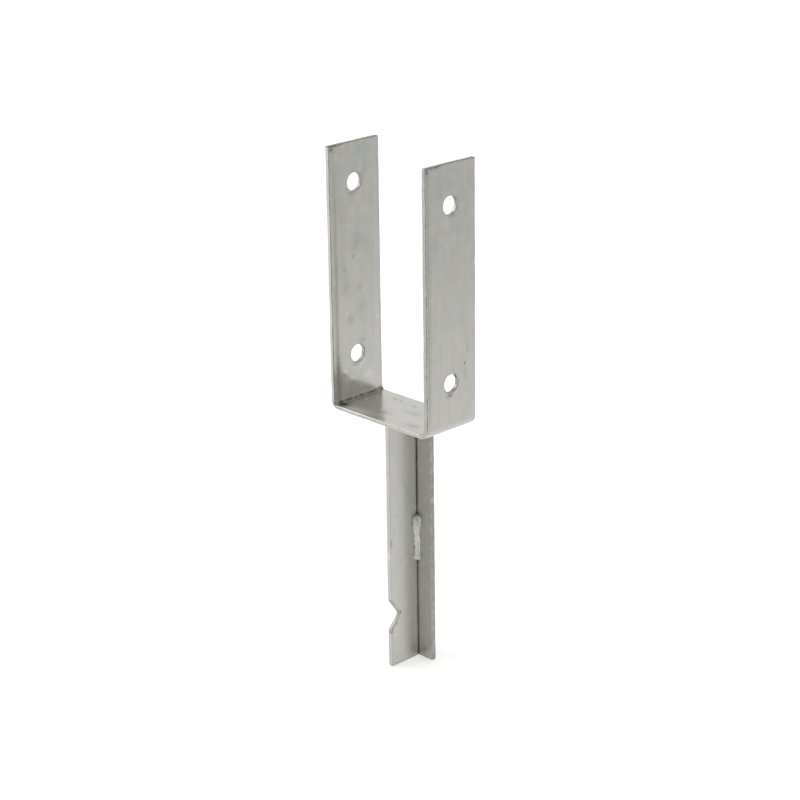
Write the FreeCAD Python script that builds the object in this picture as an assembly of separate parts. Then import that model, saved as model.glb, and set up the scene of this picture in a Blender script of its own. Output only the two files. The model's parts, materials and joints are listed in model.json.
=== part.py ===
"""Post base for a square timber post: a folded steel saddle on a welded T-shaped stem.

The stem is cast into concrete up to the saddle's underside, the post stands on the seat
between the two arms, and bolts or screws go through the four holes.
Millimetres, +Z up. The origin is the centre of the seat's upper face, X runs across the
post from arm to arm, and -Y is the side that the stem's web points to.
"""
import FreeCAD, Part
import os
from FreeCAD import Vector

# ---- the post, and the room that the saddle leaves round it ----
post_width = 70.0
post_clearance = 1.0

# ---- saddle: one flat bar, folded up at both ends ----
bar_width = 38.0
bar_thickness = 2.5
arm_height = 147.5          # from the seat to the cut ends of the arms
bend_inside_radius = 2.5
hole_diameter = 10.5
hole_below_arm_end = 23.0   # centre of the upper hole
hole_spacing = 98.5         # from the upper to the lower hole of an arm

# ---- stem: two flat bars, one standing on the middle of the other to make a T ----
stem_length = 150.0         # from the saddle's underside to the free end
stem_forward = 0.4          # how far the T was set towards the front when it was welded
web_depth = 22.0
web_thickness = 2.5
flange_width = 25.0
flange_thickness = 3.0
notch_depth = 7.6           # of the bite that keys the stem into the concrete
notch_rise = 10.4           # from the bite's deepest point up to its upper corner
notch_drop = 8.6            # and down to its lower corner
notch_tip_radius = 2.5
notch_above_stem_end = 31.5 # its deepest point

# ---- finish of the bars ----
bar_edge_radius = 0.45      # rolled long edges, and the zinc that rounds them
foot_chamfer = 0.9          # knocks the sharp corners off the stem's free end

# ---- stitch weld in each inner corner of the T ----
stitch_below_saddle = 61.2
stitch_length = 28.4
stitch_web_leg = 4.5
stitch_flange_leg = 4.0
# share of the bead's length, then the share of the full web leg and flange leg there:
# a fat start where the arc was struck, a lean run, and a small blob where it stopped
stitch_stations = [
    (0.00, 0.38, 0.36),
    (0.05, 0.78, 0.74),
    (0.17, 1.00, 0.98),
    (0.32, 0.90, 0.94),
    (0.50, 0.76, 0.68),
    (0.74, 0.74, 0.70),
    (0.90, 0.80, 0.86),
    (1.00, 0.42, 0.44),
]

# ---- welds that carry the saddle on the stem ----
top_weld_leg = 3.5
top_weld_end_gap = 0.8      # each bead stops this far inside the ends of its seam
top_stations = [
    (0.00, 0.45, 0.45),
    (0.10, 1.00, 1.00),
    (0.90, 1.00, 1.00),
    (1.00, 0.45, 0.45),
]

bead_crown = 0.16           # how far a bead bulges past its flat chord, as a share of it

# ---- places worked out from the sizes above ----
half_gap = (post_width + post_clearance) / 2
underside = -bar_thickness
stem_end = underside - stem_length
stem_depth = web_depth + flange_thickness
web_front = -stem_depth / 2 - stem_forward
flange_front = web_front + web_depth
flange_back = flange_front + flange_thickness
web_face = web_thickness / 2
upper_hole = arm_height - hole_below_arm_end
lower_hole = upper_hole - hole_spacing


def u_edges(half_width, floor, radius, top):
    """Edges of a U in the XZ plane: down the left arm, round both bends, up the right."""
    turn = radius * (1 - 0.5 ** 0.5)
    left, right = -half_width, half_width
    down = [Vector(left, 0, top), Vector(left, 0, floor + radius)]
    left_mid = Vector(left + turn, 0, floor + turn)
    along = [Vector(left + radius, 0, floor), Vector(right - radius, 0, floor)]
    right_mid = Vector(right - turn, 0, floor + turn)
    up = [Vector(right, 0, floor + radius), Vector(right, 0, top)]
    return [
        Part.makeLine(*down),
        Part.Arc(down[1], left_mid, along[0]).toShape(),
        Part.makeLine(*along),
        Part.Arc(along[1], right_mid, up[0]).toShape(),
        Part.makeLine(*up),
    ]


def rolled(solid, is_long_edge, thickness):
    """Rounds the long edges of a bar, by no more than its thickness leaves room for."""
    radius = min(bar_edge_radius, 0.4 * thickness)
    return solid.makeFillet(radius, [edge for edge in solid.Edges if is_long_edge(edge)])


def saddle():
    """The bar folded into a U round the post, with two holes punched in each arm."""
    inner = u_edges(half_gap, 0, bend_inside_radius, arm_height)
    outer = u_edges(half_gap + bar_thickness, underside,
                    bend_inside_radius + bar_thickness, arm_height)
    ends = [Part.makeLine(i.Vertexes[n].Point, o.Vertexes[n].Point)
            for i, o, n in ((inner[0], outer[0], 0), (inner[-1], outer[-1], 1))]
    profile = Part.Face(Part.Wire(Part.__sortEdges__(inner + ends + outer)))
    profile.translate(Vector(0, -bar_width / 2, 0))
    folded = profile.extrude(Vector(0, bar_width, 0))

    def runs_along_the_fold(edge):
        box = edge.BoundBox
        return box.YLength < 0.01 and box.ZMin < arm_height - 0.01

    folded = rolled(folded, runs_along_the_fold, bar_thickness)
    reach = 2 * (half_gap + bar_thickness) + 2
    for height in (upper_hole, lower_hole):
        punch = Part.makeCylinder(hole_diameter / 2, reach,
                                  Vector(-reach / 2, 0, height), Vector(1, 0, 0))
        folded = folded.cut(punch)
    return folded


def stem_bar(size_x, size_y, corner, is_free_corner):
    """A bar cut to the stem's length: its free corners at the foot are chamfered, then
    its long edges are rounded. The corner is its left front one, at the free end."""
    bar = Part.makeBox(size_x, size_y, stem_length, corner)
    foot = [edge for edge in bar.Edges
            if edge.BoundBox.ZMax < stem_end + 0.01 and is_free_corner(edge.BoundBox)]
    bar = bar.makeChamfer(foot_chamfer, foot)
    return rolled(bar, lambda edge: edge.BoundBox.ZLength > stem_length / 2,
                  min(size_x, size_y))


def stem_web():
    """The bar that points to the front, with the keying notch near its free end."""
    bar = stem_bar(web_thickness, web_depth, Vector(-web_face, web_front, stem_end),
                   lambda box: box.YMax < web_front + 0.01)
    tip = Vector(-web_face - 1, web_front + notch_depth, stem_end + notch_above_stem_end)
    beyond_front = 1.2
    upper_corner = tip + Vector(0, -notch_depth, notch_rise) * beyond_front
    lower_corner = tip + Vector(0, -notch_depth, -notch_drop) * beyond_front
    bite = Part.Face(Part.makePolygon([tip, upper_corner, lower_corner, tip]))
    bite = bite.extrude(Vector(web_thickness + 2, 0, 0))
    tip_edge = [edge for edge in bite.Edges if edge.BoundBox.YMin > tip.y - 0.01]
    bite = bite.makeFillet(notch_tip_radius, tip_edge)
    return bar.cut(bite)


def stem_flange():
    """The bar across the back of the web, which makes the T."""
    return stem_bar(flange_width, flange_thickness,
                    Vector(-flange_width / 2, flange_front, stem_end),
                    lambda box: box.XLength < 0.01)


def bead(start, run, leg_a, leg_b, stations):
    """A weld bead in a corner: start and run give its root, and leg_a and leg_b lie on
    the two faces that it joins. Each station is a section with a bulging outer side."""
    sections = []
    for along, share_a, share_b in stations:
        root = start + run * along
        toe_a = root + leg_a * share_a
        toe_b = root + leg_b * share_b
        middle = (toe_a + toe_b) * 0.5
        outward = (middle - root).normalize()
        crest = middle + outward * (bead_crown * (toe_a - toe_b).Length)
        sections.append(Part.Wire([
            Part.makeLine(root, toe_a),
            Part.Arc(toe_a, crest, toe_b).toShape(),
            Part.makeLine(toe_b, root),
        ]))
    solid, ruled = True, True
    return Part.makeLoft(sections, solid, ruled)


def stitch_weld(side):
    """The bead in the T's inner corner, on the right (side 1) or on the left (side -1)."""
    return bead(
        Vector(side * web_face, flange_front, underside - stitch_below_saddle),
        Vector(0, 0, -stitch_length),
        Vector(0, -stitch_web_leg, 0),
        Vector(side * stitch_flange_leg, 0, 0),
        stitch_stations,
    )


def side_top_weld(side):
    """The bead under the saddle, along one face of the web."""
    front = web_front + top_weld_end_gap
    return bead(
        Vector(side * web_face, front, underside),
        Vector(0, flange_front - front, 0),
        Vector(side * top_weld_leg, 0, 0),
        Vector(0, 0, -top_weld_leg),
        top_stations,
    )


def back_top_weld():
    """The bead under the saddle, along the back of the flange."""
    half = flange_width / 2 - top_weld_end_gap
    return bead(
        Vector(-half, flange_back, underside),
        Vector(2 * half, 0, 0),
        Vector(0, top_weld_leg, 0),
        Vector(0, 0, -top_weld_leg),
        top_stations,
    )


pieces = {
    "saddle": saddle(),
    "stem_web": stem_web(),
    "stem_flange": stem_flange(),
    "stitch_weld_right": stitch_weld(1),
    "stitch_weld_left": stitch_weld(-1),
    "top_weld_right": side_top_weld(1),
    "top_weld_left": side_top_weld(-1),
    "top_weld_back": back_top_weld(),
}

os.makedirs("parts", exist_ok=True)
for node, shape in pieces.items():
    shape.exportStep(f"parts/{node}.step")
    print(f"{node:18s} {shape.ShapeType:9s} solids {len(shape.Solids)} "
          f"volume {shape.Volume:9.2f} mm3  valid {shape.isValid()}")
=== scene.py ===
# %% [markdown]
# # A galvanised post base
# A flat steel bar is folded into a U, and a T-shaped stem is welded under it. The whole
# thing is then dipped in molten zinc. The CAD model holds the sizes, so the first step
# loads it and reads every size from it. What is built here is what the workshop and the
# zinc bath leave behind: soft edges, burrs, lumps of zinc and a cloudy grey sheen.

# %% Load the frame
import bpy
import json
import math
import numpy as np
from mathutils import Matrix, Vector, geometry, kdtree, noise


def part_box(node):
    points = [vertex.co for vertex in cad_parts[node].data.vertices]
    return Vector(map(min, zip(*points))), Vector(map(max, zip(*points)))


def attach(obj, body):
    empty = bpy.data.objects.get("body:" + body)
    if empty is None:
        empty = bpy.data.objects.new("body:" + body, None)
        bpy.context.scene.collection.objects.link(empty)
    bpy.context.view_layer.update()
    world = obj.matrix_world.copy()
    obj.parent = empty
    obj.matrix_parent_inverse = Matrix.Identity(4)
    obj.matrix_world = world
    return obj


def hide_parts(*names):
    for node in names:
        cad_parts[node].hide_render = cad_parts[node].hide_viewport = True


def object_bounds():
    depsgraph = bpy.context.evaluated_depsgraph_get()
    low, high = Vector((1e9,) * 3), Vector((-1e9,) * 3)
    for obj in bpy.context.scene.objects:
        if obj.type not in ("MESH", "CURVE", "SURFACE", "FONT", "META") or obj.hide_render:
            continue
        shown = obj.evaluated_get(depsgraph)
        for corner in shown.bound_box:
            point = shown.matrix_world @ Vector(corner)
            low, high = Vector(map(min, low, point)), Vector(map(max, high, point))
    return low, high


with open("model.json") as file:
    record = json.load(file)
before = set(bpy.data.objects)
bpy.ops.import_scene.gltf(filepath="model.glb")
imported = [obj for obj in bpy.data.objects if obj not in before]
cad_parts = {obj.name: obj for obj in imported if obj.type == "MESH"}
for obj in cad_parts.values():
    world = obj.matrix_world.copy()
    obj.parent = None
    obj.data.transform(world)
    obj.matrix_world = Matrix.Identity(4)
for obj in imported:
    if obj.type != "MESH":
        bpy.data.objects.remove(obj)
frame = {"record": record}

cad_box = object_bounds()
MM = 0.001
print("CAD box in mm:", [round(v / MM, 2) for corner in cad_box for v in corner])

# %% [markdown]
# ## The sizes that the pieces share
# Each bar's place comes from its CAD node's box, and the bolt holes come from the mounts.
# A zinc skin is never flat, and its high spots mustn't reach past the CAD model. So each
# outer face is built a hair inside the CAD face, and the high spots just reach it.

# %% Sizes from the frame
mounts = {mount["name"]: mount for mount in frame["record"]["mounts"]}
openings = {gap["name"]: gap["box_m"] for gap in frame["record"]["physics"]["openings"]}
skin_allowance = 0.12 * MM

saddle_low, saddle_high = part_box("saddle")
bar_thickness = -saddle_low.z
bar_width = saddle_high.y - saddle_low.y
half_gap = saddle_high.x - bar_thickness
arm_end = saddle_high.z
hole_radius = mounts["through_bolt_upper"]["dims"]["r_mm"] * MM
hole_heights = [mounts[name]["pos_m"][2] for name in ("through_bolt_upper", "through_bolt_lower")]

web_low, web_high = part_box("stem_web")
flange_low, flange_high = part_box("stem_flange")
notch_height = sum(corner[2] for corner in openings["concrete_key"]) / 2
print("bar", round(bar_width / MM, 2), "x", round(bar_thickness / MM, 2),
      "mm, holes at", [round(z / MM, 1) for z in hole_heights], "mm")

# %% [markdown]
# ## Cutting a bar to an outline
# Every bar starts as a flat blank: an outline with holes in it, given a thickness. A cube
# with booleans would have sharp edges and long thin faces that can't be bent or dented.
# So the outline is walked in short steps, its inside is filled with an even net of
# triangles, and a rounded wall joins the two faces. In the blank, a runs along the bar,
# b across it and w from its inner to its outer face.

# %% Outlines
EDGE_STEP = 0.65 * MM


def walk(corners):
    """A closed outline through corners (a, b, radius), rounded there and cut into steps."""
    path = []
    count = len(corners)
    for i, (a, b, radius) in enumerate(corners):
        here = Vector((a, b))
        before = Vector(corners[i - 1][:2]) - here
        after = Vector(corners[(i + 1) % count][:2]) - here
        if radius == 0:
            path.append(here)
            continue
        half = before.angle(after) / 2
        tangent = min(radius / math.tan(half), 0.49 * before.length, 0.49 * after.length)
        start = here + before.normalized() * tangent
        end = here + after.normalized() * tangent
        steps = max(3, round((math.pi - 2 * half) * radius / (0.4 * EDGE_STEP)))
        for k in range(steps + 1):
            t = k / steps
            path.append(start.lerp(here, t).lerp(here.lerp(end, t), t))
    points = []
    for start, end in zip(path, path[1:] + path[:1]):
        steps = max(1, round((end - start).length / EDGE_STEP))
        points += [start.lerp(end, k / steps) for k in range(steps)]
    return np.array(points)


def ring(a, b, radius):
    """A round hole's outline. It runs clockwise, so that metal is always on the left."""
    steps = round(2 * math.pi * radius / (0.8 * EDGE_STEP))
    turn = -2 * math.pi * np.arange(steps) / steps
    return np.column_stack([a + radius * np.cos(turn), b + radius * np.sin(turn)])


def into_metal(loop):
    """The unit direction from each point of a loop into the metal on its left."""
    along = np.roll(loop, -1, axis=0) - np.roll(loop, 1, axis=0)
    along /= np.linalg.norm(along, axis=1)[:, None]
    return np.column_stack([-along[:, 1], along[:, 0]])


def is_metal(points, loops):
    """True for each point that lies inside the outline and outside the holes."""
    inside = np.zeros(len(points), bool)
    a, b = points[:, 0], points[:, 1]
    for loop in loops:
        for (a0, b0), (a1, b1) in zip(loop, np.roll(loop, -1, axis=0)):
            if b0 != b1:
                inside ^= ((b0 > b) != (b1 > b)) & (a < (a1 - a0) * (b - b0) / (b1 - b0) + a0)
    return inside


# %% [markdown]
# ## Ragged edges
# A real edge isn't a ruled line. Shears leave small steps, and zinc gathers along an edge
# in long low swellings. Noise that eats a little way into the outline gives both.

# %% Waves and ragged edges
def waves(point, size, seed):
    """Smooth noise from about -1 to 1, whose bumps are about size across."""
    return noise.noise(Vector(point).to_3d() / size + Vector((seed, 2.3 * seed, -1.7 * seed)))


def ragged(loop, depth, size, seed):
    """The loop with its points moved into the metal, by up to depth."""
    eaten = [depth * (0.5 + 0.5 * max(-1, min(1, 1.6 * waves(p, size, seed)))) for p in loop]
    return loop + into_metal(loop) * np.array(eaten)[:, None]


# %% [markdown]
# ## Filling the blank
# A Delaunay net keeps its triangles close to even-sided, also next to a hole or a notch.
# The wall between the faces is not a flat band: a bar's long edge is rolled, and zinc
# gathers in a bead along both of its corners and leaves a shallow valley between them.

# %% Flat blanks
FACE_STEP = 0.9 * MM
CORNER_STEPS = 4


def net(borders):
    """Triangles that fill the borders. Returns the points, the triangles and, for each
    border, which points it became."""
    low, high = borders[0].min(axis=0), borders[0].max(axis=0)
    rows = np.arange(low[1], high[1], FACE_STEP * 0.87)
    grid = np.array([(a + (i % 2) * FACE_STEP / 2, b) for i, b in enumerate(rows)
                     for a in np.arange(low[0], high[0], FACE_STEP)])
    grid += np.random.default_rng(5).uniform(-0.12, 0.12, grid.shape) * FACE_STEP
    grid = grid[is_metal(grid, borders)]
    rim = np.vstack(borders)
    near = kdtree.KDTree(len(rim))
    for i, point in enumerate(rim):
        near.insert((*point, 0), i)
    near.balance()
    grid = [p for p in grid if near.find((*p, 0))[2] > 0.6 * EDGE_STEP]
    points = [Vector(p) for p in rim] + [Vector(p) for p in grid]
    links, where, first = [], [], 0
    for border in borders:
        n = len(border)
        links += [(first + k, first + (k + 1) % n) for k in range(n)]
        where.append(range(first, first + n))
        first += n
    out, _, triangles, came_from, _, _ = geometry.delaunay_2d_cdt(points, links, [], 0, 1e-9)
    became = {old: new for new, olds in enumerate(came_from) for old in olds}
    out = np.array([tuple(p) for p in out])
    middles = np.array([out[list(t)].mean(axis=0) for t in triangles])
    triangles = [tuple(t) for t, keep in zip(triangles, is_metal(middles, borders)) if keep]
    return out, triangles, [[became[i] for i in w] for w in where]


def band(ring_a, ring_b):
    """The faces between two rings with as many points each."""
    count = len(ring_a)
    return [(ring_a[k], ring_b[k], ring_b[(k + 1) % count], ring_a[(k + 1) % count])
            for k in range(count)]


def blank(loops, radii, thickness, valleys, margin=0.0):
    """A flat bar with rounded edges. radii holds each loop's edge radius, one for each
    point, and valleys how far each wall dips between its corners. A margin adds a narrow
    even strip beside each edge. Returns the points, the faces and two values for each
    point: its loop (0 on the two faces, then 1 for the outline's wall and 2, 3 and so on
    for the holes), and its line (1 where a face turns into a wall, 0.5 in the valley)."""
    sides = [into_metal(loop) for loop in loops]
    borders = [loop + side * (radius + margin)[:, None]
               for loop, side, radius in zip(loops, sides, radii)]
    flat, triangles, border_at = net(borders)
    n = len(flat)
    points = [np.column_stack([flat, np.full(n, thickness)]),
              np.column_stack([flat, np.zeros(n)])]
    faces = list(triangles) + [tuple(n + i for i in reversed(t)) for t in triangles]
    total = 2 * n
    loop_of, line = [np.zeros(2 * n, int)], [np.zeros(2 * n)]
    turns = [math.pi / 2 * k / CORNER_STEPS for k in range(1, CORNER_STEPS + 1)]
    for i, (loop, side, radius, at, valley) in enumerate(
            zip(loops, sides, radii, border_at, valleys)):
        wall = thickness - 2 * radius
        rows = [(radius * (1 - math.sin(t)), radius * (1 - math.cos(t)), i + 1, 0)
                for t in turns]
        rows += [(valley * math.sin(math.pi * s) ** 2, radius + wall * s, i + 1,
                  0.5 * (0.3 < s < 0.7)) for s in (0.2, 0.4, 0.6, 0.8)]
        rows += [(radius * (1 - math.sin(t)), thickness - radius * (1 - math.cos(t)), i + 1, 0)
                 for t in reversed(turns)]
        if margin:
            rows = [(radius, 0 * radius, 0, 1)] + rows + [(radius, thickness + 0 * radius, 0, 1)]
        else:
            line[0][at + [n + k for k in at]] = 1
        previous = at
        for inset, depth, where, amount in rows:
            inset = np.broadcast_to(inset, len(loop))
            points.append(np.column_stack([loop + side * inset[:, None], thickness - depth]))
            current = list(range(total, total + len(loop)))
            total += len(loop)
            loop_of.append(np.full(len(loop), where))
            line.append(np.full(len(loop), float(amount)))
            faces += band(previous, current)
            previous = current
        faces += band(previous, [n + k for k in at])
    return np.vstack(points), faces, np.concatenate(loop_of), np.concatenate(line)


# %% [markdown]
# ## Turning points into a piece
# A dipped bar is never quite flat. Slow waves come from the rolled bar, and small ones
# from zinc that ran down and set. Both are moved into the mesh itself, along the surface
# normal, so that they bend the reflections as the real ones do. Each point also carries
# how dark it is made: scale sits only in certain places, and painted shade is put in
# creases, grooves and along edges. Painted highlights are carried the same way.

# %% Pieces and their zinc skin
def skin_height(point, seed):
    """How far the zinc stands proud at a point."""
    x, y, z = point
    slow = 0.035 * waves(point, 22 * MM, seed)
    runs = 0.022 * waves((x, y, z * 0.45), 5 * MM, seed + 5)
    fine = 0.008 * waves(point, 2.2 * MM, seed + 9)
    return (slow + runs + fine) * MM


def falloff(points, place, reach):
    """1 at a place, fading smoothly to 0 at about its reach. reach may differ by axis."""
    distance = np.linalg.norm((points - np.array(place)) / np.array(reach), axis=1)
    return np.exp(-2.5 * distance ** 2)


def make_piece(name, points, faces, seed, nodes, lumps=(), marks=(), point_stain_and_shade=0.0):
    """A mesh object from points and faces, with its zinc skin, its lumps (place, reach,
    height) and its marks (place, reach, amount). A mark above zero is a stain or painted
    shade, and a mark below zero is a painted highlight that brightens the colour. The last
    argument gives stain and painted shade point by point. The piece rides on the body and
    stands for its CAD nodes."""
    mesh = bpy.data.meshes.new(name)
    mesh.from_pydata([tuple(p) for p in points], [], faces)
    mesh.polygons.foreach_set("use_smooth", [True] * len(mesh.polygons))
    normals = np.zeros(len(mesh.vertices) * 3)
    mesh.vertex_normals.foreach_get("vector", normals)
    co = np.array(points, float)
    rise = np.array([skin_height(p, seed) for p in co])
    for place, reach, height in lumps:
        rise += height * falloff(co, place, reach)
    stain_and_shade, painted_highlight = np.zeros(len(co)) + point_stain_and_shade, np.zeros(len(co))
    # Marks above zero add stain and painted shade; marks below zero add painted highlight.
    for place, reach, amount in marks:
        if amount > 0:
            stain_and_shade = np.maximum(stain_and_shade, amount * falloff(co, place, reach))
        else:
            painted_highlight = np.maximum(painted_highlight, -amount * falloff(co, place, reach))
    co += normals.reshape(-1, 3) * rise[:, None]
    co = np.clip(co, np.array(cad_box[0]), np.array(cad_box[1]))
    mesh.vertices.foreach_set("co", co.ravel())
    for attribute, values in (("stain_and_shade", stain_and_shade), ("painted_highlight", painted_highlight)):
        mesh.attributes.new(attribute, "FLOAT", "POINT").data.foreach_set("value", values)
    mesh.update()
    piece = bpy.data.objects.new(name, mesh)
    bpy.context.scene.collection.objects.link(piece)
    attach(piece, "root")
    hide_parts(*nodes)
    print(f"{name}: {len(mesh.vertices)} points, {len(mesh.polygons)} faces")
    return piece


# %% [markdown]
# ## The saddle
# The real saddle is sheared from flat bar, punched while it is flat, and folded over a
# die. The mesh is made the same way: a straight blank with four holes, then a function
# that wraps it round the two bends. Punching first keeps the holes true to the metal.
# The zinc inside a hole is only a thin uneven skin, so a bolt still passes through. The
# frame gives no bend radius, so the radius inside the bends is written here.

# %% Saddle blank
LEFT, RIGHT = -1, 1
bend_radius = 2.5 * MM
bend_start = half_gap - bend_radius
bend_length = math.pi / 2 * (bend_radius + bar_thickness / 2)
skin_thickness = bar_thickness - skin_allowance
half_width = bar_width / 2 - skin_allowance
edge_radius, rim_margin = 0.40 * MM, 0.45 * MM
hole_zinc = 0.20 * MM
wall_valley, hole_valley = 0.14 * MM, 0.02 * MM


def along_blank(side, height):
    """Where in the blank a height on an arm comes from."""
    return side * (bend_start + bend_length + height - bend_radius)


left_end = along_blank(LEFT, arm_end - skin_allowance)
right_end = along_blank(RIGHT, arm_end - skin_allowance)
outline = walk([(a, b, 1.1 * MM) for a, b in (
    (left_end, -half_width), (right_end, -half_width),
    (right_end, half_width), (left_end, half_width))])
outline = ragged(ragged(outline, 0.22 * MM, 9 * MM, 4.4), 0.14 * MM, 1.8 * MM, 9.1)
saddle_loops = [outline]
for height in hole_heights:
    for side in (LEFT, RIGHT):
        hole = ring(along_blank(side, height), 0, hole_radius - hole_zinc)
        saddle_loops.append(ragged(hole, hole_zinc, 2.2 * MM, 7.7))
saddle_radii = [np.full(len(loop), edge_radius) for loop in saddle_loops]
flat_points, saddle_faces, saddle_loop_of, saddle_line = blank(
    saddle_loops, saddle_radii, skin_thickness, [wall_valley] + [hole_valley] * 4, rim_margin)
print("saddle blank", round((right_end - left_end) / MM, 1), "mm long")


# %% Fold the saddle
def smooth(value, low, high):
    """0 at low, 1 at high, and an S-curve between them."""
    t = max(0, min(1, (value - low) / (high - low)))
    return t * t * (3 - 2 * t)


def edge_step(side, a, b, is_inner):
    """How far a face lies lower along its edges, where the bar's mill rolled it thinner.
    The step is deepest low down on the inside of the left arm."""
    height = smooth(a, 40 * MM, 190 * MM)
    deep = 0.34 - 0.20 * height if side == LEFT and is_inner and a > 34 * MM else 0.07
    return deep * MM * smooth(abs(b), half_width - 5.0 * MM, half_width - 2.6 * MM)


def fold(point):
    """Wraps a point of the blank round the U. The seat stays flat and the arms go up. This
    turns the blank inside out, so its faces are turned over afterwards."""
    a, b, w = point
    side = RIGHT if a >= 0 else LEFT
    a = abs(a)
    if w < skin_thickness / 2:
        w += edge_step(side, a, b, True) * (1 - 2 * w / skin_thickness)
    else:
        w -= edge_step(side, a, b, False) * (2 * w / skin_thickness - 1)
    if a <= bend_start:
        return side * a, b, -w
    if a >= bend_start + bend_length:
        return side * (half_gap + w), b, bend_radius + a - bend_start - bend_length
    turn = (a - bend_start) / bend_length * math.pi / 2
    radius = bend_radius + w
    return (side * (bend_start + radius * math.sin(turn)), b,
            bend_radius - radius * math.cos(turn))


saddle_points = np.array([fold(p) for p in flat_points])
saddle_faces = [face[::-1] for face in saddle_faces]
print("folded round a gap of", round(2 * half_gap / MM, 1), "mm")

# %% [markdown]
# ## Marks on the saddle
# The bath leaves scale on the sheared ends and in the punched holes, and a few pimples
# and pinholes; those dark ends and hole walls also carry painted shade. The marks in the
# tightest corners of the bends and along the front strips are painted shade, and the
# bright spots are painted highlights. The walls and ends are found from the blank. The
# other marks are listed one by one, each with its reach along x, y and z.

# %% Saddle marks
inside, outside, front = half_gap, half_gap + bar_thickness, -bar_width / 2
upper, lower = hole_heights


def mark(x, y, z, reach_x, reach_y, reach_z, amount):
    """A stain or painted shade, or a painted highlight where the amount is negative. All lengths
    are in mm.
    """
    return (x * MM, y * MM, z * MM), (reach_x * MM, reach_y * MM, reach_z * MM), amount


left_in, right_out = -inside / MM, outside / MM
front_mm, end_mm, upper_mm, lower_mm = (v / MM for v in (front, arm_end, upper, lower))
saddle_marks = [
    # Painted shade in the bend creases (the first three marks); dark painted lines along the
    # front strips of the arms (the three just before the bright marks).
    mark(left_in + 2, front_mm + 4.5, 0.4, 7, 4.5, 2.6, 1.5),
    mark(left_in + 0.6, 0, 0.6, 2.2, 60, 2.1, 1.1),
    mark(-right_out + 70.5, 0, 0.5, 1.6, 60, 1.8, 0.6),
    mark(left_in, front_mm + 5, 14, 1.5, 2.6, 20, 0.40),
    mark(left_in, front_mm + 4.3, 75, 1.5, 2.0, 95, 0.26),
    mark(left_in, front_mm + 9, 92, 1.5, 3.5, 45, 0.10),
    mark(right_out, front_mm + 4.0, 75, 1.5, 0.9, 110, 0.16),
    mark(right_out, front_mm + 2.4, 75, 1, 1.1, 200, 0.45),
    mark(left_in, front_mm + 2.6, 75, 1, 1.6, 200, 0.15),
    # Painted highlight: a brighter band along the seat's front, where it mirrors a brighter part
    # of the room.
    mark(-21, front_mm + 2.5, 0, 15, 6.5, 1, -1.8),
    mark(6, front_mm + 1.8, 0, 18, 2.4, 1, -0.4),
    # Dark sheared ends: scale, and painted shade over the highlight on their top edges.
    mark(left_in, front_mm + 2.5, end_mm - 2.5, 1.5, 1.8, 2.6, 1.0),
    mark(left_in, front_mm + 6, end_mm - 1, 1.5, 4, 1.6, 0.5),
    mark(right_out, front_mm + 2, end_mm - 2.5, 1.5, 2.2, 3.0, 0.9),
    mark(right_out, front_mm + 7, end_mm - 1, 1.5, 5, 1.6, 0.6),
    mark(right_out, -1, lower_mm - 6.6, 1.5, 3.0, 1.5, 0.9),
    mark(right_out, 1, upper_mm - 6, 1.5, 3.5, 1.2, 0.4),
    mark(right_out, 10.3, 35, 1, 0.8, 0.8, 1.6),
    mark(right_out, 10.6, 29, 1, 0.9, 4.5, 0.35),
    mark(right_out, 12.6, 43, 1, 0.8, 5, 0.25),
    mark(left_in, -1.5, upper_mm - 6, 1.5, 4, 1.2, 0.5),
    mark(left_in, -6, upper_mm - 3.5, 1.5, 1.4, 1.4, 0.35),
    mark(left_in, -1.5, lower_mm - 6, 1.5, 4, 1.4, 0.5),
    mark(left_in, 3.5, lower_mm + 7, 1.5, 4, 2.5, 0.22),
    mark(left_in, -2.1, 82.8, 1, 1.3, 1.5, 0.45),
    mark(left_in, -5, 47, 1, 4, 5, 0.22),
    mark(left_in, -8, 66, 1, 5, 9, 0.20),
    mark(left_in, -9, 76, 1, 3, 4, 0.20),
    mark(left_in, 2.5, 64, 1, 3.5, 3, 0.17),
    mark(left_in, 1, 90, 1, 9, 9, 0.15),
    mark(left_in, 4, 52, 1, 8, 7, 0.10),
    mark(-17.5, 11.5, 0, 3.0, 1.2, 1, 0.5),
    mark(-13, 11.2, 0, 1.5, 1.2, 1, 0.7),
    mark(-1, 10.2, 0, 2.4, 1.2, 1, 0.6),
    mark(-8, -8, 0, 7, 5, 1, 0.30),
    mark(6, 2, 0, 9, 4, 1, 0.22),
    mark(20, -12, 0, 8, 4, 1, 0.28),
    # Painted highlights on the pimples and low down on the left arm.
    mark(left_in, -7.6, 51, 1.5, 0.9, 0.9, -1.0),
    mark(left_in, 15.2, 44.5, 1.5, 1.0, 1.2, -0.9),
    mark(left_in, -10, 17.2, 1.5, 2.0, 1.6, -1.0),
    mark(left_in, -5, 12.2, 1.5, 3.0, 2.4, -0.8),
    mark(left_in, 8, 12, 1.5, 6, 5, -0.45),
    mark(left_in, 2, 19, 1.5, 7, 3, -0.3),
]
# Hole walls and sheared ends are darkened for scale and partly as painted shade over their
# highlights; the right arm's outer wall gets painted shade, and where faces turn into walls a
# dark painted line is added, strongest along the front edges.
is_hole_wall = saddle_loop_of > 1
is_sheared = (saddle_loop_of == 1) & (saddle_points[:, 2] > arm_end - 0.9 * MM)
is_right_wall = (saddle_loop_of == 1) & (saddle_points[:, 0] > half_gap - 1 * MM)
saddle_stain_and_shade = np.select([is_hole_wall, is_sheared, is_right_wall], [0.5, 0.62, 0.32], 0.0)
across = saddle_points[:, 1]
in_front = np.select([np.abs(across) < 8 * MM, across < 0], [0.25, 1.0], 0.35)
uneven = np.array([1 + 0.9 * waves(p, 7 * MM, 5.5) for p in saddle_points])
on_arm = np.clip(saddle_points[:, 2] / (6 * MM), 0.35, 1)
on_arm = np.where(saddle_line == 0.5, 1.2 - on_arm, on_arm)
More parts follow.
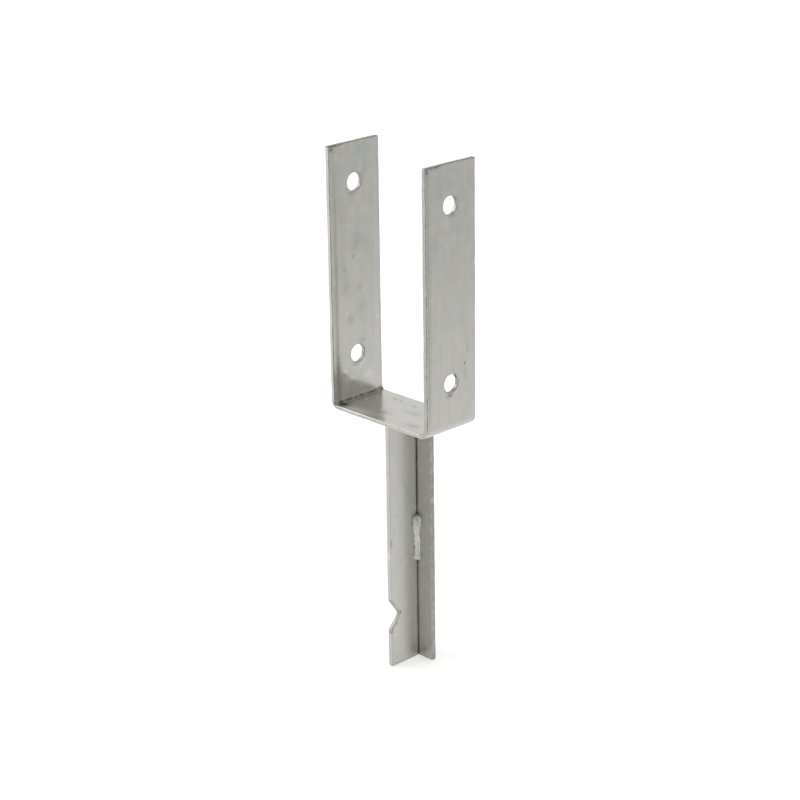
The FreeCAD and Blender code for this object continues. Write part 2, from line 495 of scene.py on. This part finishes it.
saddle_stain_and_shade = np.maximum(saddle_stain_and_shade, saddle_line * in_front * uneven * on_arm)
saddle_lumps = [
    ((-inside, 4 * MM, upper - 4.5 * MM), 1.3 * MM, 0.10 * MM),
    ((-inside, 4.5 * MM, lower - 3.5 * MM), 1.6 * MM, 0.10 * MM),
    ((outside, 4 * MM, upper - 4.5 * MM), 1.3 * MM, 0.10 * MM),
    ((outside, 3.5 * MM, lower - 5 * MM), 1.3 * MM, 0.10 * MM),
    ((-inside, -7.6 * MM, 51 * MM), 1.2 * MM, 0.16 * MM),
    ((-inside, 15.2 * MM, 44.5 * MM), 1.2 * MM, 0.16 * MM),
    ((-inside, -2 * MM, 80.5 * MM), 1.2 * MM, 0.12 * MM),
    ((-inside, -10 * MM, 17 * MM), 3 * MM, 0.14 * MM),
    ((-inside, -4 * MM, 11 * MM), 3.5 * MM, 0.05 * MM),
]
saddle = make_piece("folded_saddle", saddle_points, saddle_faces, 3.1, ["saddle"],
                    saddle_lumps, saddle_marks, saddle_stain_and_shade)

# %% [markdown]
# ## The stem
# Two more flat bars stand on each other to make a T. The front one has a bite cut out of
# it, which keys it into the concrete. It was cut by hand, so its lower side is bumpy, and
# burnt zinc has set on it. Both bars are blanks that are simply stood upright. The web's back
# edges are well rounded, which leaves a groove where it meets the flange. The groove gets
# painted shade: strong above the weld, where it is open, and weak below it, where zinc
# has run in, with more again at the foot.

# %% Web bar
web_thickness = web_high.x - web_low.x
web_side, web_back = web_high.x, web_high.y
foot = web_low.z + skin_allowance
web_front = web_low.y + skin_allowance
bite = [(-8.3, 0.0, 0.4), (-6.6, 1.55, 0.8), (-4.7, 3.0, 0.8), (-2.9, 4.8, 0.8),
        (0.0, 7.0, 2.5), (9.95, 0.0, 0.8)]
corners = [(foot, web_back, 1.2 * MM), (foot, web_front, 1.2 * MM)]
corners += [(notch_height + up * MM, web_front + depth * MM, radius * MM)
            for up, depth, radius in bite]
corners += [(web_high.z, web_front, 0.5 * MM), (web_high.z, web_back, 1.2 * MM)]
web_loop = ragged(walk(corners), 0.20 * MM, 8 * MM, 3.3)
web_loop = ragged(web_loop, 0.14 * MM, 1.8 * MM, 6.1)
near_back = np.clip((web_loop[:, 1] - web_back) / (0.8 * MM) + 1, 0, 1)
web_radii = 0.42 * MM + 0.30 * MM * near_back
flat_points, web_faces, web_loop_of, web_line = blank(
    [web_loop], [web_radii], web_thickness, [0.06 * MM])
web_points = np.array([(web_thickness / 2 - w, b, a) for a, b, w in flat_points])
print("web outline of", len(web_loop), "points")


# %% Web stains and painted shade
def groove_painted_shade(distance, z):
    """The painted shade at a distance from the groove between the two bars: strong above the
    weld, weak below it, and more again at the foot.
    """
    near, far = np.exp(-(distance / (0.5 * MM)) ** 2), np.exp(-(distance / (2.4 * MM)) ** 2)
    is_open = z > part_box("stitch_weld_right")[1].z
    at_foot = np.exp(-((z - web_low.z) / (12 * MM)) ** 2)
    return (np.where(is_open, 0.75, 0.12) + 0.5 * at_foot) * near + (0.03 + 0.2 * at_foot) * far


# Painted shade along the foot of the web.
foot_painted_shade = 0.7 * np.exp(-((web_points[:, 2] - web_low.z) / (0.9 * MM)) ** 2)
in_bite = (web_loop_of == 1) & (np.abs(web_points[:, 2] - notch_height) < 10.6 * MM)
web_stain_and_shade = np.maximum(groove_painted_shade(web_back - web_points[:, 1], web_points[:, 2]), foot_painted_shade)
# The bite's wall is stained; where the faces turn into walls a dark painted line is added.
web_stain_and_shade = np.max([web_stain_and_shade, 0.42 * in_bite, 0.30 * web_line], axis=0)
side_mm, back_mm, web_front_mm = web_side / MM, web_back / MM, web_low.y / MM
# Among these: painted shade at the two ends of the stitch weld (the first two) and low down at
# the foot, and a painted highlight on the bite (the last).
web_marks = [mark(side_mm, back_mm - 0.6, -62.8, 2, 1.6, 1.1, 0.9),
             mark(side_mm, back_mm - 0.6, -93.1, 2, 1.2, 1.4, 0.8),
             mark(side_mm, -6.5, -60, 1, 1.2, 1.2, 0.35),
             mark(side_mm, web_front_mm + 1.2, -76, 2, 1.2, 5, 0.45),
             mark(side_mm, -5.4, -120.3, 1.5, 1.0, 1.6, 0.9),
             mark(side_mm, -8.4, -126.0, 1.5, 1.0, 2.4, 0.6),
             mark(side_mm, web_front_mm + 1.0, -130.4, 1.5, 1.0, 1.0, 0.9),
             mark(side_mm, back_mm - 4, -150, 1.5, 8, 9, 0.30),
             mark(0, web_front_mm, -84, 2, 2, 3, -0.8)]
web_lumps = [((web_side, -5.6 * MM, -41 * MM), 1.3 * MM, 0.16 * MM),
             ((0, web_low.y, -75 * MM), 2.2 * MM, 0.20 * MM),
             ((0, web_low.y, -84 * MM), 2.0 * MM, 0.20 * MM),
             ((0, -8.5 * MM, -124.6 * MM), 1.2 * MM, 0.20 * MM),
             ((0, -11.1 * MM, -127.6 * MM), 1.3 * MM, 0.20 * MM)]
web = make_piece("web_bar", web_points, web_faces, 11.7, ["stem_web"],
                 web_lumps, web_marks, web_stain_and_shade)

# %% Flange bar
flange_thickness = flange_high.y - flange_low.y
flange_half = (flange_high.x - flange_low.x) / 2 - skin_allowance
flange_loop = walk([(a, b, 0.9 * MM) for a, b in (
    (foot, flange_half), (flange_high.z, flange_half),
    (flange_high.z, -flange_half), (foot, -flange_half))][::-1])
flange_loop = ragged(flange_loop, 0.18 * MM, 6 * MM, 5.2)
flat_points, flange_faces, flange_loop_of, flange_line = blank(
    [flange_loop], [np.full(len(flange_loop), 0.6 * MM)], flange_thickness, [0.04 * MM])
flange_points = np.array([(b, flange_low.y + w, a) for a, b, w in flat_points])
from_groove = np.where(flange_points[:, 1] < flange_low.y + 1 * MM,
                       np.maximum(0, np.abs(flange_points[:, 0]) - web_side), 1)
# Painted shade along the foot of the flange.
foot_painted_shade = 0.9 * np.exp(-((flange_points[:, 2] - web_low.z) / (1.2 * MM)) ** 2)
flange_stain_and_shade = np.maximum(groove_painted_shade(from_groove, flange_points[:, 2]), foot_painted_shade)
# Painted shade on the flange's outline wall, dark painted lines where its faces turn into walls,
# and an even painted shade over the whole flange.
flange_stain_and_shade = np.max([flange_stain_and_shade, 0.50 * (flange_loop_of == 1), 0.35 * flange_line], axis=0)
flange_stain_and_shade = np.maximum(flange_stain_and_shade, 0.14)
# Painted shade at the stitch weld's top and low down near the foot.
flange_marks = [mark(side_mm + 1, back_mm, -62.8, 1.8, 1, 1.1, 0.9),
                mark(6.6, back_mm, -78, 1.2, 1, 1.6, 0.5),
                mark(7, back_mm, -150, 8, 1, 9, 0.36),
                mark(11, back_mm, -63.5, 1.2, 1, 1.2, 0.4)]
flange = make_piece("flange_bar", flange_points, flange_faces, 17.9, ["stem_flange"],
                    (), flange_marks, flange_stain_and_shade)

# %% [markdown]
# ## Weld beads
# A welder draws each bead by hand, so it swells where the rod stops and thins where it
# hurries, and each stroke freezes as a small crescent. A bead here is a row of sections
# between the two bars. Its thickness follows a given curve, and the crescents and
# some noise are added to it. The buried side reaches into the bars, so no gap can show.

# %% Weld beads
BEAD_STEP = 0.2 * MM
BEAD_CAP = 2.6 * MM
BEAD_STROKE = 1.5 * MM
BEAD_OVERLAP = 0.25 * MM


def hump(t, middle, width):
    """A smooth rise to 1 at the middle."""
    return math.exp(-((t - middle) / width) ** 2)


def bead(name, node, start, end, leg_a, leg_b, swell, seed):
    """A weld bead from start to end, in the corner between the directions leg_a and
    leg_b, whose lengths are its widths on the two bars. swell gives its size along it."""
    start, end, leg_a, leg_b = (Vector(v) for v in (start, end, leg_a, leg_b))
    length = (end - start).length
    stations, arc = round(length / BEAD_STEP), 20
    sink = (leg_a.normalized() + leg_b.normalized()) * BEAD_OVERLAP
    points, faces = [], []
    for i in range(stations + 1):
        t = i / stations
        tip = min(1, min(t, 1 - t) * length / BEAD_CAP)
        cap = 0.3 + 0.7 * math.sqrt(1 - (1 - tip) ** 2)
        for k in range(arc + 1):
            turn = math.pi / 2 * k / arc
            stroke = t * length / BEAD_STROKE + 0.4 * math.sin(2 * turn)
            place = (t * length * 0.6, k * 0.28 * MM, 0)
            rough = (0.005 * math.cos(2 * math.pi * stroke) + 0.12 * waves(place, 3 * MM, seed)
                     + 0.10 * waves(place, 1.5 * MM, seed + 4))
            size = cap * (swell(t) + rough)
            power = 1.5 + 0.6 * max(0, swell(t) - 0.6)
            full = (math.sin(turn) ** power + math.cos(turn) ** power) ** (-1 / power)
            points.append(start.lerp(end, t) + size * full *
                          (leg_a * math.cos(turn) + leg_b * math.sin(turn)))
        points.append(start.lerp(end, t) - sink)
    ring_size = arc + 2
    for i in range(stations):
        first, second = i * ring_size, (i + 1) * ring_size
        for k in range(ring_size):
            j = (k + 1) % ring_size
            faces.append((first + k, first + j, second + j, second + k))
    faces.append(tuple(reversed(range(ring_size))))
    faces.append(tuple(range(stations * ring_size, (stations + 1) * ring_size)))
    if leg_a.cross(leg_b).dot(end - start) < 0:
        faces = [tuple(reversed(face)) for face in faces]
    return make_piece(name, points, faces, seed, [node])


def stitch_swell(t):
    """A fat start, a thinner run and a small blob where the rod was pulled away."""
    return 0.62 + 0.35 * hump(t, 0.17, 0.19) + 0.18 * hump(t, 0.93, 0.08)


def even_swell(t):
    """Nearly even, a little fuller close to both ends."""
    return 0.86 + 0.08 * hump(t, 0.12, 0.1) + 0.10 * hump(t, 0.88, 0.1)


beads = []
for side, word in ((RIGHT, "right"), (LEFT, "left")):
    node = "stitch_weld_" + word
    low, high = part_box(node)
    reach = max(abs(low.x), abs(high.x)) - web_side
    beads.append(bead(word + "_stitch_bead", node, (side * web_side, web_back, high.z),
                      (side * web_side, web_back, low.z), (0, low.y - high.y, 0),
                      (side * reach, 0, 0), stitch_swell, 21 + side))
    node = "top_weld_" + word
    low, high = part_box(node)
    reach = max(abs(low.x), abs(high.x)) - web_side
    beads.append(bead(word + "_top_bead", node, (side * web_side, low.y, high.z),
                      (side * web_side, high.y, high.z), (0, 0, low.z - high.z),
                      (side * reach, 0, 0), even_swell, 31 + side))
low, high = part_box("top_weld_back")
beads.append(bead("back_top_bead", "top_weld_back", (low.x, low.y, high.z),
                  (high.x, low.y, high.z), (0, 0, low.z - high.z), (0, high.y - low.y, 0),
                  even_swell, 41))

# %% [markdown]
# ## Zinc
# A dipped surface is metal all over, so nearly everything seen on it is a blurred
# reflection. The colour only says how much it gives back. It drifts between a greenish
# and a pinkish grey in soft clouds, which is where the zinc set at different speeds.
# Stains, and the painted shade in creases, grooves, along edges and at the foot, are dull
# and brown, and noise breaks them up so that their edges look eaten. Painted highlights
# make the colour brighter where a brighter reflection should fall. The stem cooled last,
# so it is a little rougher and warmer than the saddle.

# %% Zinc material
def zinc(name, cool, warm, roughness):
    """Clouded zinc between a cool and a warm grey, with streaks, stains, painted shade,
    painted highlights and fine bumps.
    """
    material = bpy.data.materials.new(name)
    material.use_nodes = True
    tree = material.node_tree
    shader = tree.nodes["Principled BSDF"]

    def add(kind, inputs, **settings):
        node = tree.nodes.new("ShaderNode" + kind)
        for key, value in settings.items():
            setattr(node, key, value)
        for key, value in inputs.items():
            if isinstance(value, bpy.types.NodeSocket):
                tree.links.new(value, node.inputs[key])
            else:
                node.inputs[key].default_value = value
        return node.outputs

    def cloud(vector, size, detail, low, high):
        """Noise whose patches are about size across, spread over 0 to 1 by low and high."""
        field = add("TexNoise", {"Vector": vector, "Scale": 0.5 / size, "Detail": detail,
                                 "Roughness": 0.6, "Distortion": 0.4})["Fac"]
        return add("MapRange", {"Value": field, "From Min": low, "From Max": high})["Result"]

    place = add("TexCoord", {})["Object"]
    drawn = add("Mapping", {"Vector": place, "Scale": (1, 1, 0.09)})["Vector"]
    slow = cloud(place, 9 * MM, 3, 0.35, 0.65)
    blotch = cloud(place, 2.6 * MM, 4, 0.30, 0.70)
    streak = cloud(drawn, 1.6 * MM, 3, 0.30, 0.70)
    tint = add("Mix", {"Factor": slow, "A": cool, "B": warm}, data_type="RGBA")["Result"]
    shade = add("MapRange", {"Value": blotch, "To Min": 0.96, "To Max": 1.04})["Result"]
    shade = add("Math", {0: streak, 1: 0.05, 2: shade}, operation="MULTIPLY_ADD")["Value"]
    # Painted highlight: the base colour is brightened where a brighter reflection should fall.
    painted_highlight = add("Attribute", {}, attribute_name="painted_highlight")["Fac"]
    shade = add("Math", {0: painted_highlight, 1: 0.35, 2: shade}, operation="MULTIPLY_ADD")["Value"]
    base = add("VectorMath", {0: tint, 1: shade}, operation="MULTIPLY")["Vector"]
    # Stain and painted shade: the colour is pulled towards a dark brown, for real scale and for
    # the shade painted into creases, grooves, edges and the foot.
    stain_and_shade = add("Attribute", {}, attribute_name="stain_and_shade")["Fac"]
    eaten = cloud(place, 1.1 * MM, 4, 0.10, 0.55)
    stain_and_shade = add("Math", {0: stain_and_shade, 1: eaten}, operation="MULTIPLY", use_clamp=True)["Value"]
    colour = add("Mix", {"Factor": stain_and_shade, "A": base, "B": (0.135, 0.118, 0.108, 1)},
                 data_type="RGBA")["Result"]
    tree.links.new(colour, shader.inputs["Base Color"])
    rough = add("MapRange", {"Value": blotch, "To Min": roughness * 0.8,
                             "To Max": roughness * 1.25})["Result"]
    rough = add("Math", {0: stain_and_shade, 1: 0.35, 2: rough}, operation="MULTIPLY_ADD")["Value"]
    tree.links.new(rough, shader.inputs["Roughness"])
    grain = cloud(place, 0.5 * MM, 3, 0.2, 0.8)
    height = add("Math", {0: blotch, 1: 1.5, 2: grain}, operation="MULTIPLY_ADD")["Value"]
    bump = add("Bump", {"Height": height, "Strength": 0.15, "Distance": 0.010 * MM})["Normal"]
    tree.links.new(bump, shader.inputs["Normal"])
    shader.inputs["Metallic"].default_value = 0.88
    return material


zinc_bar = zinc("dipped zinc", (0.520, 0.534, 0.497, 1), (0.562, 0.540, 0.508, 1), 0.22)
zinc_stem = zinc("dipped zinc on stem", (0.525, 0.536, 0.500, 1), (0.566, 0.544, 0.512, 1), 0.32)
zinc_weld = zinc("dipped zinc on weld", (0.51, 0.54, 0.50, 1), (0.56, 0.57, 0.53, 1), 0.48)
saddle.data.materials.append(zinc_bar)
for piece in (web, flange):
    piece.data.materials.append(zinc_stem)
for piece in beads:
    piece.data.materials.append(zinc_weld)
print("zinc on", 3 + len(beads), "pieces")

# %% [markdown]
# ## The studio
# Shiny grey metal needs something to mirror. Here it is a wide pale floor that gets
# darker far off to the right, and a pale room whose right side is darker too. Without
# that fall the faces would all come out one flat grey. A large soft lamp hangs in front
# on the left. The floor also glows a little for the rays that see it, so the background
# comes out white while the light on the object stays plain.

# %% Floor
floor_z = cad_box[0].z
reach = 7.0
floor_mesh = bpy.data.meshes.new("floor")
floor_mesh.from_pydata([(-reach, -reach, floor_z), (reach, -reach, floor_z),
                        (reach, reach, floor_z), (-reach, reach, floor_z)], [], [(0, 1, 2, 3)])
floor = bpy.data.objects.new("floor", floor_mesh)
bpy.context.scene.collection.objects.link(floor)

paper = bpy.data.materials.new("studio paper")
paper.use_nodes = True
tree = paper.node_tree
paper_shader = tree.nodes["Principled BSDF"]
paper_shader.inputs["Base Color"].default_value = (0.82, 0.82, 0.82, 1)
paper_shader.inputs["Roughness"].default_value = 0.9
paper_shader.inputs["Specular IOR Level"].default_value = 0.1
paper_shader.inputs["Emission Color"].default_value = (1, 1, 1, 1)


def seen_rays(tree):
    """1 for the rays that show a surface, straight on or in metal or glass, else 0."""
    rays = tree.nodes.new("ShaderNodeLightPath")
    value = rays.outputs["Is Camera Ray"]
    for name in ("Is Glossy Ray", "Is Transmission Ray"):
        either = tree.nodes.new("ShaderNodeMath")
        either.operation = "MAXIMUM"
        tree.links.new(value, either.inputs[0])
        tree.links.new(rays.outputs[name], either.inputs[1])
        value = either.outputs[0]
    return value


dim_centre = Vector((1.10, 0.70, floor_z))
place = tree.nodes.new("ShaderNodeTexCoord")
away = tree.nodes.new("ShaderNodeVectorMath")
away.operation = "DISTANCE"
away.inputs[1].default_value = dim_centre
tree.links.new(place.outputs["Object"], away.inputs[0])
level = tree.nodes.new("ShaderNodeMapRange")
level.inputs["From Min"].default_value = 0.2
level.inputs["From Max"].default_value = 1.15
level.inputs["To Min"].default_value = 0.08
level.inputs["To Max"].default_value = 0.50
tree.links.new(away.outputs["Value"], level.inputs["Value"])
glow = tree.nodes.new("ShaderNodeMath")
glow.operation = "MULTIPLY"
tree.links.new(level.outputs["Result"], glow.inputs[0])
tree.links.new(seen_rays(tree), glow.inputs[1])
tree.links.new(glow.outputs[0], paper_shader.inputs["Emission Strength"])
floor_mesh.materials.append(paper)
print("floor at", round(floor_z / MM, 1), "mm")

# %% Room light
world = bpy.data.worlds.new("studio")
bpy.context.scene.world = world
world.use_nodes = True
tree = world.node_tree
direction = tree.nodes.new("ShaderNodeTexCoord")
rightward = tree.nodes.new("ShaderNodeVectorMath")
rightward.operation = "DOT_PRODUCT"
rightward.inputs[1].default_value = (1.0, -0.35, 0.0)
tree.links.new(direction.outputs["Generated"], rightward.inputs[0])
tone = tree.nodes.new("ShaderNodeMapRange")
tone.inputs["From Min"].default_value = -0.95
tone.inputs["From Max"].default_value = 0.95
tone.inputs["To Min"].default_value = 1.0
tone.inputs["To Max"].default_value = 0.55
tree.links.new(rightward.outputs["Value"], tone.inputs["Value"])
strength = tree.nodes.new("ShaderNodeMix")
strength.inputs["A"].default_value = 0.62
tree.links.new(seen_rays(tree), strength.inputs["Factor"])
tree.links.new(tone.outputs["Result"], strength.inputs["B"])
tree.links.new(strength.outputs["Result"], tree.nodes["Background"].inputs["Strength"])
tree.nodes["Background"].inputs["Color"].default_value = (1, 1, 1, 1)

# %% Soft lamp
lamp_data = bpy.data.lights.new("soft lamp", "AREA")
lamp_data.shape = "RECTANGLE"
lamp_data.size, lamp_data.size_y = 1.5, 1.5
lamp_data.energy = 11
lamp = bpy.data.objects.new("soft lamp", lamp_data)
bpy.context.scene.collection.objects.link(lamp)
lamp.location = (-1.2, -1.1, 1.3)
lamp.rotation_euler = (-lamp.location).to_track_quat("-Z", "Y").to_euler()
print("lamp at", [round(v, 2) for v in lamp.location])

# %% [markdown]
# ## Camera
# The view is from the front right and a little above. A long lens keeps the arms nearly
# parallel. The camera is placed by its angles round a point near the seat, so it can be
# read and changed without working out a position.

# %% Camera
view_azimuth = math.radians(46.12)
view_elevation = math.radians(20.06)
view_roll = math.radians(-0.82)
view_distance = 1188 * MM
aim = Vector((-2.58, 0.53, 6.10)) * MM

back = Vector((math.sin(view_azimuth) * math.cos(view_elevation),
               -math.cos(view_azimuth) * math.cos(view_elevation),
               math.sin(view_elevation)))
right = Vector((math.cos(view_azimuth), math.sin(view_azimuth), 0))
axes = Matrix((right, back.cross(right), back)).transposed()
camera_data = bpy.data.cameras.new("camera")
camera_data.sensor_width = 36
camera_data.lens = 96.65
camera = bpy.data.objects.new("camera", camera_data)
bpy.context.scene.collection.objects.link(camera)
camera.matrix_world = (Matrix.Translation(aim + back * view_distance)
                       @ (axes @ Matrix.Rotation(view_roll, 3, "Z")).to_4x4())
bpy.context.scene.camera = camera
bpy.context.scene.view_settings.view_transform = "Standard"
print("camera at", [round(v, 3) for v in camera.location])
